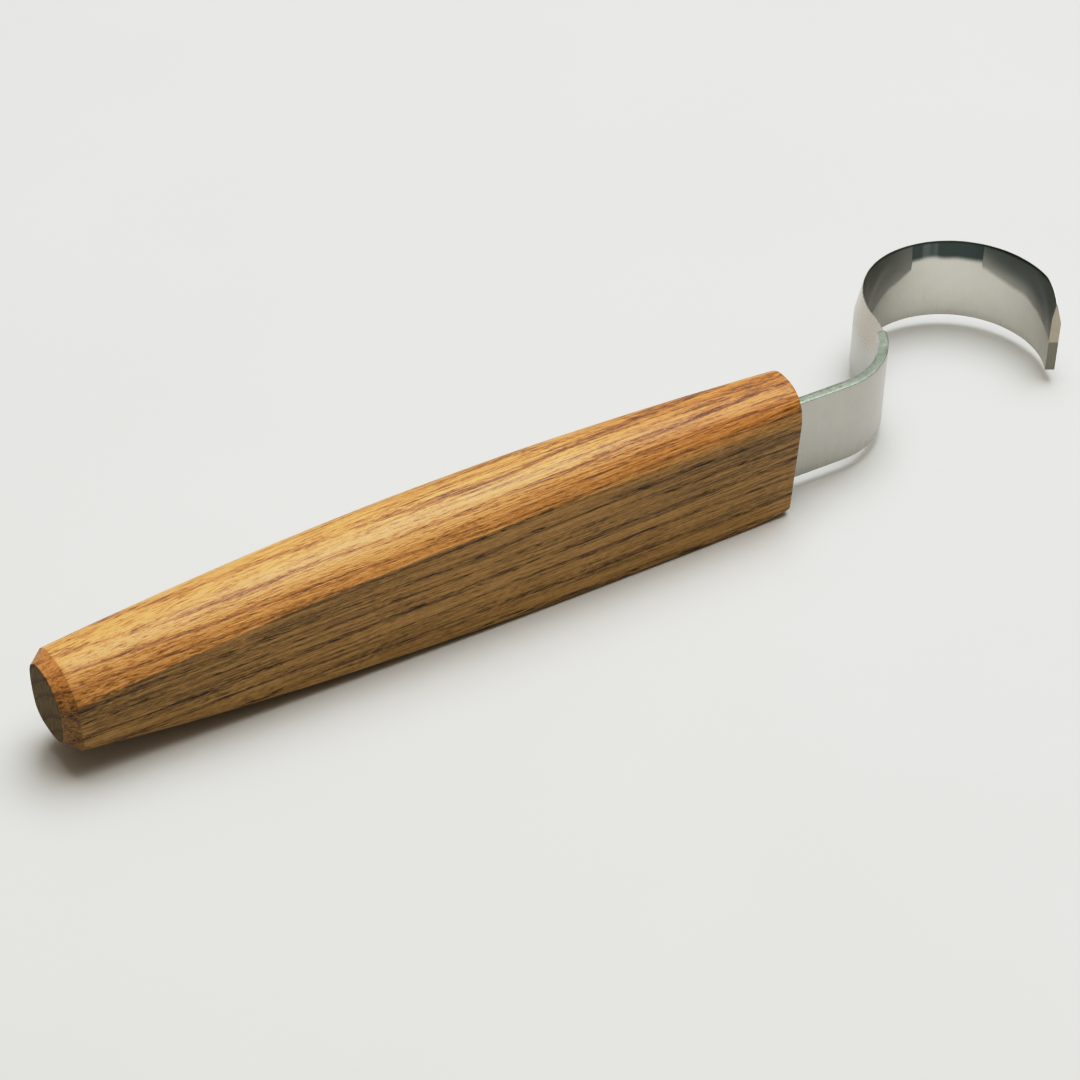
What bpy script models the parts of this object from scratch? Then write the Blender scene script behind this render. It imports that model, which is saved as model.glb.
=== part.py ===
"""Hook knife: a bent steel strip with a bevelled hook, glued into a one-piece oak handle.

Units are metres and +Z is up. The knife lies on the flat underside of its handle. The
origin is in the middle of that flat, +X runs along the handle towards the hook, and y = 0
is the middle plane of the steel strip where it enters the handle.
"""

import math

import bmesh
import bpy

# ---------------------------------------------------------------- driving dimensions

CLEARANCE = 0.0003          # gap between pieces that touch
ADHESIVE_THICKNESS = 0.0004

# Steel strip
STRIP_WIDTH = 0.01476
STRIP_THICKNESS = 0.00154
STRIP_CENTRE_Z = 0.0100     # height of the strip's middle line over the underside

# Blade path, seen from above, along the face that becomes the inside of the hook.
# It starts at PATH_START_X, just in front of the handle.
PATH_START_X = 0.0220
NECK_STRAIGHT = 0.0086
NECK_RADIUS = 0.0130
NECK_TURN = math.radians(84.4)
CROSSOVER_STRAIGHT = 0.0016
HOOK_BACK_RADIUS = 0.0129
HOOK_BACK_TURN = math.radians(81.9)
HOOK_FRONT_RADIUS = 0.0158
HOOK_FRONT_TURN = math.radians(85.5)
HOOK_TIP_RADIUS = 0.0133
HOOK_TIP_TURN = math.radians(34.5)

# Cutting edge along the top of the hook: a wide bevel on the outer face, a shallow one inside
BEVEL_START = 0.0244        # distance along the path where the grind begins
BEVEL_RUNOUT = 0.0006       # length of the step up to full thickness
OUTER_BEVEL_HEIGHT = 0.0053
INNER_BEVEL_HEIGHT = 0.0043
EDGE_DEPTH = 0.00040        # how far the edge lies behind the inner face
EDGE_THICKNESS = 0.00012
TIP_DROP = 0.00145          # how much lower the cutting edge is at the tip
TIP_DROP_LENGTH = 0.0054

# Tang, the straight end of the strip inside the handle
TANG_START_DEPTH = 0.0020   # the strip keeps its full width this far into the handle
TANG_TAPER_LENGTH = 0.0700
TANG_END_WIDTH = 0.0090

# Handle. Lists run from the butt to the front end at equal steps.
HANDLE_LENGTH = 0.1186
HANDLE_FRONT_X = 0.0189
HALF_WIDTHS = (0.00600, 0.00620, 0.00605, 0.00540)
SIDE_TOPS = (0.01360, 0.01825, 0.01930, 0.01680)    # top edge of the flat sides
CROWN_HEIGHTS = (0.0046, 0.0040, 0.0059)            # rise of the rounded top over it
CROWN_EXPONENT = 2.5        # far side; 2 is an ellipse, more is squarer
NEAR_CROWN_POWER = 2.3      # near side, where the crown meets the flat side in a crease
CREASE_FADE_START = 0.55    # fraction of the length where the crease starts to fade
CREASE_FADE_END = 1.10
REST_FLAT_START = 0.69      # fraction of the length where the underside turns flat
BUTT_RISE = 0.0040          # how far the underside lifts towards the butt
BUTT_RISE_POWER = 1.5
LOWER_EDGE_RADIUS = 0.00080
BUTT_LOWER_EDGE_RADIUS = 0.0030
BUTT_ROUNDING_REACH = 0.35  # fraction of the length where the lower edge is rounder
BUTT_CHAMFER_LENGTH = 0.0022
BUTT_CHAMFER_SIDE = 0.00130
BUTT_CHAMFER_TOP = 0.00105
BUTT_OVAL = 0.5             # how far the sawn end face goes from the outline to an oval
BUTT_SKEW = -0.10           # the butt is sawn a little out of square, seen from above
FRONT_RAKE = 0.065          # the front end leans forward at the top
CUTTER_REACH = 0.005        # how far the slot's cutters stand out of the front end
FLATNESS = 0.000001         # faces this close to the table are joined into one rest face

# Mesh resolution
ARC_STEP = math.radians(4.0)
HANDLE_STATIONS = 30
CROWN_STEPS = 11
CORNER_STEPS = 4

# ---------------------------------------------------------------- scene and materials


def clear_scene():
    for item in list(bpy.data.objects):
        bpy.data.objects.remove(item, do_unlink=True)


def make_material(name, colour, roughness, metallic):
    material = bpy.data.materials.new(name)
    material.use_nodes = True
    shader = material.node_tree.nodes["Principled BSDF"]
    shader.inputs["Base Color"].default_value = (*colour, 1.0)
    shader.inputs["Roughness"].default_value = roughness
    shader.inputs["Metallic"].default_value = metallic
    return material


def add_object(name, mesh_builder, material=None):
    """Make one object from a bmesh, with its faces pointing out."""
    bmesh.ops.recalc_face_normals(mesh_builder, faces=mesh_builder.faces)
    mesh = bpy.data.meshes.new(name)
    mesh_builder.to_mesh(mesh)
    mesh_builder.free()
    if material:
        mesh.materials.append(material)
    item = bpy.data.objects.new(name, mesh)
    bpy.context.collection.objects.link(item)
    return item


def shade_round(item, sharp_degrees):
    item.data.shade_smooth()
    item.data.set_sharp_from_angle(angle=math.radians(sharp_degrees))


def cut_away(item, cutter):
    """Subtract a hidden cutter from an object."""
    cutter.hide_render = True
    cutter.display_type = "WIRE"
    boolean = item.modifiers.new("cut_" + cutter.name, "BOOLEAN")
    boolean.operation = "DIFFERENCE"
    boolean.solver = "EXACT"
    boolean.object = cutter


def loft(sections):
    """Skin a row of closed sections that have equal point counts, and cap both ends."""
    builder = bmesh.new()
    rings = [[builder.verts.new(point) for point in section] for section in sections]
    count = len(rings[0])
    for ring, following in zip(rings, rings[1:]):
        for index in range(count):
            beside = (index + 1) % count
            builder.faces.new((ring[index], ring[beside], following[beside], following[index]))
    builder.faces.new(rings[0])
    builder.faces.new(list(reversed(rings[-1])))
    return builder


# ---------------------------------------------------------------- blade


def tang_half_width(x):
    """Half the strip's width: full in front of the handle, tapering inside it."""
    depth = max(0.0, HANDLE_FRONT_X - TANG_START_DEPTH - x)
    taper = min(1.0, depth / TANG_TAPER_LENGTH)
    return (STRIP_WIDTH + (TANG_END_WIDTH - STRIP_WIDTH) * taper) / 2


def blade_path():
    """Stations along the strip: x, y, heading, and distance from the path's start."""
    tang_end = HANDLE_FRONT_X - TANG_START_DEPTH - TANG_TAPER_LENGTH
    start_y = -STRIP_THICKNESS / 2
    stations = []
    for x in (tang_end, HANDLE_FRONT_X - TANG_START_DEPTH, PATH_START_X):
        stations.append((x, start_y, 0.0, x - PATH_START_X))
    runs = (
        (NECK_STRAIGHT, 0.0),
        (NECK_RADIUS * NECK_TURN, NECK_TURN),
        (CROSSOVER_STRAIGHT, 0.0),
        (HOOK_BACK_RADIUS * HOOK_BACK_TURN, -HOOK_BACK_TURN),
        (HOOK_FRONT_RADIUS * HOOK_FRONT_TURN, -HOOK_FRONT_TURN),
        (HOOK_TIP_RADIUS * HOOK_TIP_TURN, -HOOK_TIP_TURN),
    )
    for length, turn in runs:
        steps = max(1, math.ceil(abs(turn) / ARC_STEP))
        for _ in range(steps):
            x, y, heading, distance = stations[-1]
            middle = heading + turn / steps / 2
            chord = length / steps
            if turn:
                chord *= math.sin(turn / steps / 2) / (turn / steps / 2)
            stations.append((
                x + chord * math.cos(middle),
                y + chord * math.sin(middle),
                heading + turn / steps,
                distance + length / steps,
            ))
    return stations


def station_at(stations, distance):
    """A station between two others, for the ends of the grind."""
    for before, after in zip(stations, stations[1:]):
        if before[3] <= distance < after[3]:
            part = (distance - before[3]) / (after[3] - before[3])
            return tuple(a + (b - a) * part for a, b in zip(before, after))
    return stations[-1]


def strip_section(station, path_end):
    """The strip's corners: inner bottom, inner bevel foot, top two, outer foot, outer bottom."""
    x, y, heading, distance = station
    half = tang_half_width(x) if distance < 0.0 else STRIP_WIDTH / 2
    top_inner, top_outer = 0.0, STRIP_THICKNESS
    if distance > BEVEL_START + BEVEL_RUNOUT / 2:
        top_inner, top_outer = EDGE_DEPTH, EDGE_DEPTH + EDGE_THICKNESS
    tip_share = max(0.0, 1.0 - (path_end - distance) / TIP_DROP_LENGTH)
    top = half - TIP_DROP * tip_share
    profile = (
        (0.0, -half),
        (0.0, STRIP_WIDTH / 2 - INNER_BEVEL_HEIGHT),
        (top_inner, top),
        (top_outer, top),
        (STRIP_THICKNESS, STRIP_WIDTH / 2 - OUTER_BEVEL_HEIGHT),
        (STRIP_THICKNESS, -half),
    )
    outward = (-math.sin(heading), math.cos(heading))
    return [
        (x + outward[0] * depth, y + outward[1] * depth, STRIP_CENTRE_Z + height)
        for depth, height in profile
    ]


def make_blade():
    stations = blade_path()
    for distance in (BEVEL_START, BEVEL_START + BEVEL_RUNOUT):
        stations.append(station_at(stations, distance))
        stations.sort(key=lambda station: station[3])
    steel = make_material("ground_steel", (0.62, 0.61, 0.60), 0.32, 1.0)
    path_end = stations[-1][3]
    sections = [strip_section(station, path_end) for station in stations]
    blade = add_object("blade", loft(sections), steel)
    shade_round(blade, 25)
    return blade


# ---------------------------------------------------------------- handle


def through(values, fraction):
    """The smooth curve (Lagrange polynomial) through equally spaced values."""
    last = len(values) - 1
    total = 0.0
    for index, value in enumerate(values):
        weight = 1.0
        for other in range(len(values)):
            if other != index:
                weight *= (fraction * last - other) / (index - other)
        total += value * weight
    return total


def handle_section(fraction):
    """Outline in (y, z): flat sides, a rounded crown, and a flat underside with eased edges."""
    half = through(HALF_WIDTHS, fraction)
    side_top = through(SIDE_TOPS, fraction)
    crown = through(CROWN_HEIGHTS, fraction)
    lift = max(0.0, 1.0 - fraction / REST_FLAT_START)
    underside = BUTT_RISE * lift ** BUTT_RISE_POWER
    rounding = max(0.0, 1.0 - fraction / BUTT_ROUNDING_REACH) ** 2
    radius = LOWER_EDGE_RADIUS + (BUTT_LOWER_EDGE_RADIUS - LOWER_EDGE_RADIUS) * rounding
    outline = []
    fade = (fraction - CREASE_FADE_START) / (CREASE_FADE_END - CREASE_FADE_START)
    fade = min(1.0, max(0.0, fade))
    fade = fade * fade * (3 - 2 * fade)
    for step in range(CROWN_STEPS):
        across = math.cos(math.pi / 2 * step / CROWN_STEPS)
        creased = 1 - across ** NEAR_CROWN_POWER
        rounded = (1 - across ** CROWN_EXPONENT) ** (1 / CROWN_EXPONENT)
        outline.append((-half * across, side_top + crown * (creased + (rounded - creased) * fade)))
    for step in range(CROWN_STEPS + 1):
        angle = math.pi / 2 * step / CROWN_STEPS
        across = math.sin(angle) ** (2 / CROWN_EXPONENT)
        up = abs(math.cos(angle)) ** (2 / CROWN_EXPONENT)
        outline.append((half * across, side_top + crown * up))
    for side in (1, -1):
        corner = []
        for step in range(CORNER_STEPS + 1):
            angle = math.pi / 2 * step / CORNER_STEPS
            y = side * (half - radius + radius * math.cos(angle))
            corner.append((y, underside + radius - radius * math.sin(angle)))
        outline.extend(corner if side == 1 else reversed(corner))
    return outline


def butt_section(outline):
    """The sawn end face: the first outline drawn in by the chamfer."""
    half = max(y for y, _ in outline)
    top = max(z for _, z in outline)
    bottom = min(z for _, z in outline)
    middle = (top + bottom) / 2
    narrow = 1 - BUTT_CHAMFER_SIDE / half
    low = 1 - BUTT_CHAMFER_TOP / (top - middle)
    tall = (top - middle) * low
    result = []
    for y, z in outline:
        y, z = y * narrow, (z - middle) * low
        angle = math.atan2(z / tall, y / (half * narrow))
        y += (half * narrow * math.cos(angle) - y) * BUTT_OVAL
        z += (tall * math.sin(angle) - z) * BUTT_OVAL
        result.append((y, middle + z))
    return result


def make_handle(slot_cutter):
    butt_x = HANDLE_FRONT_X - HANDLE_LENGTH
    first = handle_section(0.0)
    sections = [[(butt_x + BUTT_SKEW * y, y, z) for y, z in butt_section(first)]]
    shaft_start = butt_x + BUTT_CHAMFER_LENGTH
    shaft_length = HANDLE_FRONT_X - shaft_start
    for step in range(HANDLE_STATIONS):
        fraction = step / (HANDLE_STATIONS - 1)
        skew = BUTT_SKEW if step == 0 else 0.0
        rake = FRONT_RAKE if step == HANDLE_STATIONS - 1 else 0.0
        x = shaft_start + shaft_length * fraction
        section = [
            (x + skew * y + rake * (z - STRIP_CENTRE_Z), y, z)
            for y, z in handle_section(fraction)
        ]
        sections.append(section)
    builder = loft(sections)
    rest_faces = [
        face for face in builder.faces
        if len(face.verts) == 4 and all(vert.co.z < FLATNESS for vert in face.verts)
    ]
    bmesh.ops.dissolve_faces(builder, faces=rest_faces, use_verts=False)
    oak = make_material("oiled_oak", (0.42, 0.22, 0.09), 0.45, 0.0)
    handle = add_object("handle", builder, oak)
    cut_away(handle, slot_cutter)
    shade_round(handle, 28)
    return handle


# ---------------------------------------------------------------- tang seat


def tang_envelope(name, offset, reach_out, material=None):
    """A tapered block around the tang, larger than it by offset on every side.

    reach_out is how far the block stands past the handle's raked front face.
    """
    taper_start = HANDLE_FRONT_X - TANG_START_DEPTH
    side_view = []
    for sign in (1, -1):
        height = sign * (STRIP_WIDTH / 2 + offset)
        edge = [
            (HANDLE_FRONT_X + reach_out + FRONT_RAKE * height, height),
            (taper_start, height),
            (taper_start - TANG_TAPER_LENGTH - offset, sign * (TANG_END_WIDTH / 2 + offset)),
        ]
        side_view.extend(edge if sign == 1 else reversed(edge))
    half = STRIP_THICKNESS / 2 + offset
    sections = [[(x, y, STRIP_CENTRE_Z + z) for x, z in side_view] for y in (-half, half)]
    return add_object(name, loft(sections), material)


def make_tang_adhesive():
    resin = make_material("epoxy", (0.55, 0.42, 0.24), 0.5, 0.0)
    bed = tang_envelope("tang_adhesive", CLEARANCE + ADHESIVE_THICKNESS, -CLEARANCE, resin)
    cut_away(bed, tang_envelope("tang_room", CLEARANCE, CUTTER_REACH))
    return bed


# ---------------------------------------------------------------- assembly

clear_scene()
make_blade()
make_handle(tang_envelope("tang_slot", 2 * CLEARANCE + ADHESIVE_THICKNESS, CUTTER_REACH))
make_tang_adhesive()
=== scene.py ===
"""Looks of the hook knife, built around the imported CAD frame.

Everything is in metres in the row frame: +X runs along the handle to the hook, +Z is up and
the knife lies on the flat underside of its handle. Each CAD node is replaced by a finer piece
inside the CAD box, with its own procedural material. The outlines are the CAD's, except that the
handle's underside lifts a little at the front.
"""

import math

import bmesh
import bpy
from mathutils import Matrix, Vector, noise


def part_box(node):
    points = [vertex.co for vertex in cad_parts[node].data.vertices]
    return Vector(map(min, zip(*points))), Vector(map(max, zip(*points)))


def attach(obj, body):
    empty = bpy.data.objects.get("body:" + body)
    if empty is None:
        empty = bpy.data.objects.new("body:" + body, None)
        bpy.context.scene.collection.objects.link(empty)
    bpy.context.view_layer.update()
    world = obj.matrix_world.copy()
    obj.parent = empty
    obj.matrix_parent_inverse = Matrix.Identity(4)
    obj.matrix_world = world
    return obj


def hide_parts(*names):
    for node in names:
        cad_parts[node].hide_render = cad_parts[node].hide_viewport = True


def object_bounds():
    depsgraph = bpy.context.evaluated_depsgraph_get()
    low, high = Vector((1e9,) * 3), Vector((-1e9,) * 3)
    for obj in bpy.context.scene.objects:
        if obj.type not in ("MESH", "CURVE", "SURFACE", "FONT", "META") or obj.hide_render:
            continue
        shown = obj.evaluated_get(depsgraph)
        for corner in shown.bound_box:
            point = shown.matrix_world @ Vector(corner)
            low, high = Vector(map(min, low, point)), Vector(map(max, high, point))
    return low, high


MM = 0.001

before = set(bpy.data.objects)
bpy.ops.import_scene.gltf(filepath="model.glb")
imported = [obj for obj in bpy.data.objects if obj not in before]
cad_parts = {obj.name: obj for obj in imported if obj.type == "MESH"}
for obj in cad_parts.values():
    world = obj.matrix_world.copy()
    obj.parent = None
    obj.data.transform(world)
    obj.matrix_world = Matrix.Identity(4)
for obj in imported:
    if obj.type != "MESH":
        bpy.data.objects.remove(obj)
cad_low, cad_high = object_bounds()
blade_low, blade_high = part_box("blade")
handle_low, handle_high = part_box("handle")
bed_low, bed_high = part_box("tang_adhesive")

# ---------------------------------------------------------------- shared shape of the knife

STRIP_THICKNESS = 1.54 * MM
STRIP_WIDTH = blade_high.z - blade_low.z
STRIP_CENTRE_Z = (blade_high.z + blade_low.z) / 2
INNER_FACE_Y = blade_low.y          # the strip's near face in the handle and the neck
STRIP_MIDDLE_Y = INNER_FACE_Y + STRIP_THICKNESS / 2

FRONT_RAKE = 0.065
BUTT_SKEW = -0.10
BUTT_HALF_WIDTH = 4.70 * MM         # of the sawn face, which stands furthest back on one side
FRONT_REACH = 12.7 * MM             # how far the front's furthest point is over the strip's middle
BUTT_X = handle_low.x - BUTT_SKEW * BUTT_HALF_WIDTH
HANDLE_FRONT_X = handle_high.x - FRONT_RAKE * FRONT_REACH
HANDLE_TO_PATH = 3.1 * MM
PATH_START_X = HANDLE_FRONT_X + HANDLE_TO_PATH
NECK_STRAIGHT = 8.6 * MM
# Bends after the neck: radius and turn in degrees, left positive. None is a straight run.
BENDS = (
    (13.0 * MM, 84.4),
    (None, 1.6 * MM),
    (12.9 * MM, -81.9),
    (15.8 * MM, -85.5),
    (13.3 * MM, -34.5),
)
BEVEL_START = 24.4 * MM
BEVEL_RUNOUT = 0.6 * MM
OUTER_BEVEL_HEIGHT = 5.3 * MM
INNER_BEVEL_HEIGHT = 4.3 * MM
EDGE_DEPTH = 0.40 * MM
EDGE_THICKNESS = 0.12 * MM
TIP_DROP = 1.45 * MM
TIP_DROP_LENGTH = 5.4 * MM
TANG_START_DEPTH = 2.0 * MM
TANG_TAPER_LENGTH = 70.0 * MM
TANG_END_WIDTH = 9.0 * MM
TAPER_START_X = HANDLE_FRONT_X - TANG_START_DEPTH
TANG_END_X = TAPER_START_X - TANG_TAPER_LENGTH

# ---------------------------------------------------------------- mesh helpers


def mesh_object(name, builder, materials, sharp_degrees):
    bmesh.ops.recalc_face_normals(builder, faces=builder.faces)
    mesh = bpy.data.meshes.new(name)
    builder.to_mesh(mesh)
    builder.free()
    for material in materials:
        mesh.materials.append(material)
    item = bpy.data.objects.new(name, mesh)
    bpy.context.scene.collection.objects.link(item)
    mesh.shade_smooth()
    mesh.set_sharp_from_angle(angle=math.radians(sharp_degrees))
    return item


def loft(sections):
    """Skin closed sections with equal point counts and cap both ends."""
    builder = bmesh.new()
    rings = [[builder.verts.new(point) for point in section] for section in sections]
    count = len(rings[0])
    for ring, following in zip(rings, rings[1:]):
        for index in range(count):
            beside = (index + 1) % count
            builder.faces.new((ring[index], ring[beside], following[beside], following[index]))
    builder.faces.new(rings[0])
    builder.faces.new(list(reversed(rings[-1])))
    return builder


def blend(start, end, share):
    return start + (end - start) * share


def smooth_share(value, low, high):
    """0 below low, 1 above high, and a smooth rise between them."""
    share = min(1.0, max(0.0, (value - low) / (high - low)))
    return share * share * (3 - 2 * share)


def through(values, fraction):
    """The smooth curve (Lagrange polynomial) through equally spaced values."""
    last = len(values) - 1
    total = 0.0
    for index, value in enumerate(values):
        weight = 1.0
        for other in range(len(values)):
            if other != index:
                weight *= (fraction * last - other) / (index - other)
        total += value * weight
    return total


# ---------------------------------------------------------------- node helpers


class Shader:
    """A Principled material under construction."""

    def __init__(self, name, roughness=0.5, metallic=0.0):
        self.material = bpy.data.materials.new(name)
        self.material.use_nodes = True
        self.tree = self.material.node_tree
        self.surface = self.tree.nodes["Principled BSDF"]
        self.surface.inputs["Roughness"].default_value = roughness
        self.surface.inputs["Metallic"].default_value = metallic

    def put(self, socket, value):
        if isinstance(value, bpy.types.NodeSocket):
            self.tree.links.new(value, socket)
        elif value is not None:
            socket.default_value = value

    def math(self, operation, first, second=None, third=None):
        node = self.tree.nodes.new("ShaderNodeMath")
        node.operation = operation
        for socket, value in zip(node.inputs, (first, second, third)):
            self.put(socket, value)
        return node.outputs[0]

    def add(self, first, second):
        return self.math("ADD", first, second)

    def times(self, first, second):
        return self.math("MULTIPLY", first, second)

    def ramp(self, value, low, high, low_out=0.0, high_out=1.0, smooth=True):
        node = self.tree.nodes.new("ShaderNodeMapRange")
        node.interpolation_type = "SMOOTHSTEP" if smooth else "LINEAR"
        numbers = (value, low, high, low_out, high_out)
        for socket, number in zip(node.inputs, numbers):
            self.put(socket, number)
        return node.outputs[0]

    def object_mm(self, turn=(0.0, 0.0, 0.0)):
        """Object coordinates in millimetres, turned by some degrees."""
        place = self.tree.nodes.new("ShaderNodeTexCoord")
        return self.moved(place.outputs["Object"], scale=(1 / MM,) * 3, turn=turn)

    def moved(self, vector, scale=(1.0, 1.0, 1.0), turn=(0.0, 0.0, 0.0), shift=(0.0, 0.0, 0.0)):
        node = self.tree.nodes.new("ShaderNodeMapping")
        self.put(node.inputs["Vector"], vector)
        node.inputs["Location"].default_value = shift
        node.inputs["Rotation"].default_value = [math.radians(angle) for angle in turn]
        node.inputs["Scale"].default_value = scale
        return node.outputs[0]

    def attribute(self, name):
        node = self.tree.nodes.new("ShaderNodeAttribute")
        node.attribute_name = name
        return node.outputs["Vector"]

    def split(self, vector):
        node = self.tree.nodes.new("ShaderNodeSeparateXYZ")
        self.put(node.inputs[0], vector)
        return node.outputs[0], node.outputs[1], node.outputs[2]

    def join(self, x, y, z):
        node = self.tree.nodes.new("ShaderNodeCombineXYZ")
        for socket, value in zip(node.inputs, (x, y, z)):
            self.put(socket, value)
        return node.outputs[0]

    def noise(self, vector, scale=(1.0, 1.0, 1.0), detail=2.0, rough=0.5, shift=(0.0, 0.0, 0.0)):
        """Perlin noise from 0 to 1, with its own scale along each axis."""
        node = self.tree.nodes.new("ShaderNodeTexNoise")
        self.put(node.inputs["Vector"], self.moved(vector, scale=scale, shift=shift))
        node.inputs["Scale"].default_value = 1.0
        node.inputs["Detail"].default_value = detail
        node.inputs["Roughness"].default_value = rough
        return node.outputs[0]

    def mix(self, share, first, second, mode="MIX"):
        node = self.tree.nodes.new("ShaderNodeMix")
        node.data_type = "RGBA"
        node.blend_type = mode
        self.put(node.inputs["Factor"], share)
        for socket, colour in ((node.inputs[6], first), (node.inputs[7], second)):
            self.put(socket, (*colour, 1.0) if isinstance(colour, tuple) else colour)
        return node.outputs[2]

    def bump(self, height, distance, strength=1.0, under=None):
        """Bump from a height of 0 to 1 that stands for this distance."""
        node = self.tree.nodes.new("ShaderNodeBump")
        node.inputs["Strength"].default_value = strength
        node.inputs["Distance"].default_value = distance
        self.put(node.inputs["Height"], height)
        if under is not None:
            self.put(node.inputs["Normal"], under)
        return node.outputs[0]

    def finish(self, **sockets):
        for name, value in sockets.items():
            self.put(self.surface.inputs[name.replace("_", " ").title()], value)
        return self.material


# ---------------------------------------------------------------- steel

# Distances along the strip and heights over its middle are in millimetres.
PAINTED_BRIGHT_REFLECTION_TINT = (1.34, 1.34, 1.32)         # painted brighter reflection on the inside of the hook, against the neck
PAINTED_DIM_REFLECTION_TINT = (0.66, 0.67, 0.66)   # painted dimmer reflection on its first, left part
LEFT_STEP = 50.4                        # where the dark area's lower line steps up
RIGHT_STEP = 62.0                       # and where it steps down again
HOOK_END = 79.0
POLISH_ROUGHNESS = 0.22
NICK_HEIGHT = -1.7
# Painted reflections: the colours of the dark areas on the left, in the middle band and on the
# right.
LEFT_TINTS = ((0.29, 0.285, 0.255), (0.14, 0.145, 0.13))
MIDDLE_TINTS = ((0.060, 0.076, 0.073), (0.115, 0.132, 0.130))
RIGHT_TINTS = ((0.31, 0.305, 0.275), (0.14, 0.155, 0.145))
EDGE_TINT = (0.035, 0.045, 0.045)


def steel(name, bright, dark, roughness, line_contrast=0.5, streak=1.0, dark_zones=None):
    """Satin steel. Its brush lines run across the strip, whose own coordinates are in `strip`.

    `streak` is how close the lines are along the strip. `dark_zones` darkens and smooths the
    surface where it is 1, and brings in the painted brighter and dimmer reflections inside the
    hook.
    """
    shader = Shader(name, metallic=1.0)
    strip = shader.attribute("strip")
    lines = shader.noise(strip, (5.0 * streak, 0.10, 2.0), detail=5.0, rough=0.65)
    fine = shader.noise(strip, (16.0 * streak, 0.35, 8.0), detail=3.0, rough=0.6)
    cloud = shader.noise(strip, (0.22, 0.20, 0.2), detail=3.0, rough=0.5, shift=(3.0, 1.0, 0.0))
    speck = shader.noise(strip, (2.2, 2.2, 2.2), detail=4.0, rough=0.7)
    grain = shader.add(shader.times(lines, 0.6), shader.times(fine, 0.4))
    share = shader.ramp(grain, 0.5 - 0.25 / line_contrast, 0.5 + 0.25 / line_contrast)
    colour = shader.mix(share, dark, bright)
    colour = shader.mix(shader.ramp(cloud, 0.35, 0.7, 0.0, 0.35), colour, dark)
    colour = shader.mix(shader.ramp(speck, 0.66, 0.80, 0.0, 0.45), colour, dark)
    rough = shader.ramp(grain, 0.25, 0.75, roughness * 0.85, roughness * 1.2)
    # Dark zones: inside the hook they are painted reflections.
    if dark_zones:
        amount, deep, gloss = dark_zones(shader, strip)
        along, _, _ = shader.split(strip)
        # Painted reflection: the inside of the hook is made brighter, and its first, left part
        # dimmer.
        painted_bright_reflection = shader.ramp(along, 26.0, 38.0)
        colour = shader.mix(painted_bright_reflection, colour, PAINTED_BRIGHT_REFLECTION_TINT, mode="MULTIPLY")
        painted_dim_reflection = shader.times(painted_bright_reflection, shader.ramp(along, 38.0, 53.0, 1.0, 0.0))
        colour = shader.mix(painted_dim_reflection, colour, PAINTED_DIM_REFLECTION_TINT, mode="MULTIPLY")
        colour = shader.mix(amount, colour, deep)
        change = shader.add(gloss, shader.times(rough, -1.0))
        rough = shader.math("MULTIPLY_ADD", amount, change, rough)
    relief = shader.bump(grain, 0.006 * MM, 0.6)
    return shader.finish(base_color=colour, roughness=rough, normal=relief)


def painted_inner_reflections(shader, strip):
    """The darker, smoother part inside the hook, above a stepped line along the strip: its
    darkness is painted reflection, standing in for the walls reflecting each other.
    """
    along, height, _ = shader.split(strip)
    waver = shader.noise(strip, (0.16, 0.0, 0.0), detail=1.0)
    past_left = shader.ramp(along, LEFT_STEP - 0.1, LEFT_STEP + 0.1)
    past_right = shader.ramp(along, RIGHT_STEP - 0.1, RIGHT_STEP + 0.1)
    line = shader.ramp(along, 36.0, LEFT_STEP, -5.9, 2.5, smooth=False)
    line = shader.math("MULTIPLY_ADD", past_left, 1.5, line)
    line = shader.math("MULTIPLY_ADD", past_right, -0.9, line)
    line = shader.add(line, shader.ramp(along, RIGHT_STEP, HOOK_END, 0.0, -4.9, smooth=False))
    line = shader.add(line, shader.ramp(waver, 0.3, 0.7, -0.35, 0.35))
    over = shader.math("SUBTRACT", height, line)
    uneven = shader.noise(strip, (0.9, 0.0, 0.0), detail=0.0)
    band_end = shader.ramp(along, 55.0, 54.4, 0.0, 1.0)
    band = shader.times(shader.ramp(along, 51.9, 52.5), band_end)
    band = shader.times(band, shader.ramp(uneven, 0.35, 0.60, 0.45, 1.0))
    middle = shader.times(past_left, shader.math("SUBTRACT", 1.0, past_right))
    left_tint = shader.mix(shader.ramp(height, 0.0, 7.0), *LEFT_TINTS)
    middle_tint = shader.mix(band, *MIDDLE_TINTS)
    right_tint = shader.mix(shader.ramp(over, 0.0, 4.0), *RIGHT_TINTS)
    deep = shader.mix(middle, left_tint, middle_tint)
    deep = shader.mix(past_right, deep, right_tint)
    deep = shader.mix(shader.ramp(height, 6.75, 7.25), deep, EDGE_TINT)
    hook = shader.ramp(along, 24.5, 33.0)
    soft = shader.ramp(over, -0.55, 0.65)
    return shader.times(soft, hook), deep, POLISH_ROUGHNESS


def darker_lower_end(shader, strip):
    """The tip's end: its lower part is darker, below a fine nick."""
    _, height, _ = shader.split(strip)
    below = shader.ramp(height, NICK_HEIGHT - 0.25, NICK_HEIGHT + 0.05, 1.0, 0.0)
    from_nick = shader.math("ABSOLUTE", shader.add(height, -NICK_HEIGHT))
    nick = shader.ramp(shader.math("SUBTRACT", 1.0, from_nick), 0.8, 0.95)
    deep = shader.mix(nick, (0.20, 0.19, 0.155), (0.06, 0.06, 0.05))
    return below, deep, 0.3


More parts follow.
